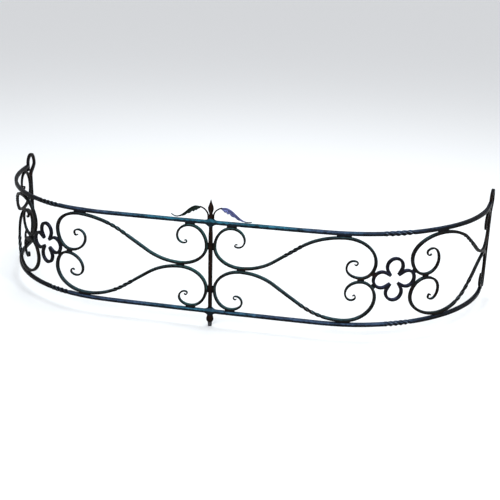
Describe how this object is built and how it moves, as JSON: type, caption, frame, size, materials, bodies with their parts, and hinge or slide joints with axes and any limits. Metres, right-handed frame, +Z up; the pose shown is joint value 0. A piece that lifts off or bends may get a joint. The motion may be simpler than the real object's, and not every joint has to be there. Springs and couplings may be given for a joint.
{
  "type": "fireplace screen",
  "caption": "Bow-fronted wrought-iron hearth screen: two rails joined by S scrolls and quatrefoils, a centre post with finial, leaves and foot, and end posts bent into open eyes.",
  "frame": {"origin": "middle of the plan outline, on the floor under the front foot", "axes": "+Z up along the posts, the bowed front faces -Y, X runs from the left end to the right end"},
  "size_m": [1.5856, 0.5362, 0.3835],
  "materials": {
    "rail_iron": "hand-forged square bar, dark waxed iron with a steel-blue sheen",
    "scroll_iron": "hand-forged square bar, black to steel-blue",
    "petal_iron": "bent bar, near black",
    "brown_post_iron": "dark iron with brown-red rust tint",
    "end_post_iron": "dark iron with brown tint",
    "leaf_iron": "folded sheet iron, dark blue-violet sheen",
    "grey_stub_metal": "dull dark grey",
    "weld_iron": "rough forge and arc welds, near black"
  },
  "bodies": {
    "root": {"bottom_rail": "rail_iron", "bottom_rail_welds": "weld_iron", "centre_post": "brown_post_iron", "centre_post_welds": "weld_iron", "curl_welds": "weld_iron", "end_post_welds": "weld_iron", "foot_knob": "brown_post_iron", "foot_stub": "grey_stub_metal", "left_bottom_petal": "petal_iron", "left_end_post": "end_post_iron", "left_inner_lower_scroll": "scroll_iron", "left_inner_petal": "petal_iron", "left_inner_upper_scroll": "scroll_iron", "left_leaf_blade": "leaf_iron", "left_leaf_stem": "leaf_iron", "left_outer_lower_scroll": "scroll_iron", "left_outer_petal": "petal_iron", "left_outer_upper_scroll": "scroll_iron", "left_top_petal": "petal_iron", "post_finial": "brown_post_iron", "quatrefoil_welds": "weld_iron", "right_bottom_petal": "petal_iron", "right_end_post": "end_post_iron", "right_inner_lower_scroll": "scroll_iron", "right_inner_petal": "petal_iron", "right_inner_upper_scroll": "scroll_iron", "right_leaf_blade": "leaf_iron", "right_leaf_stem": "leaf_iron", "right_outer_lower_scroll": "scroll_iron", "right_outer_petal": "petal_iron", "right_outer_upper_scroll": "scroll_iron", "right_top_petal": "petal_iron", "top_rail": "rail_iron", "top_rail_welds": "weld_iron", "waist_welds": "weld_iron"}
  },
  "joints": []
}
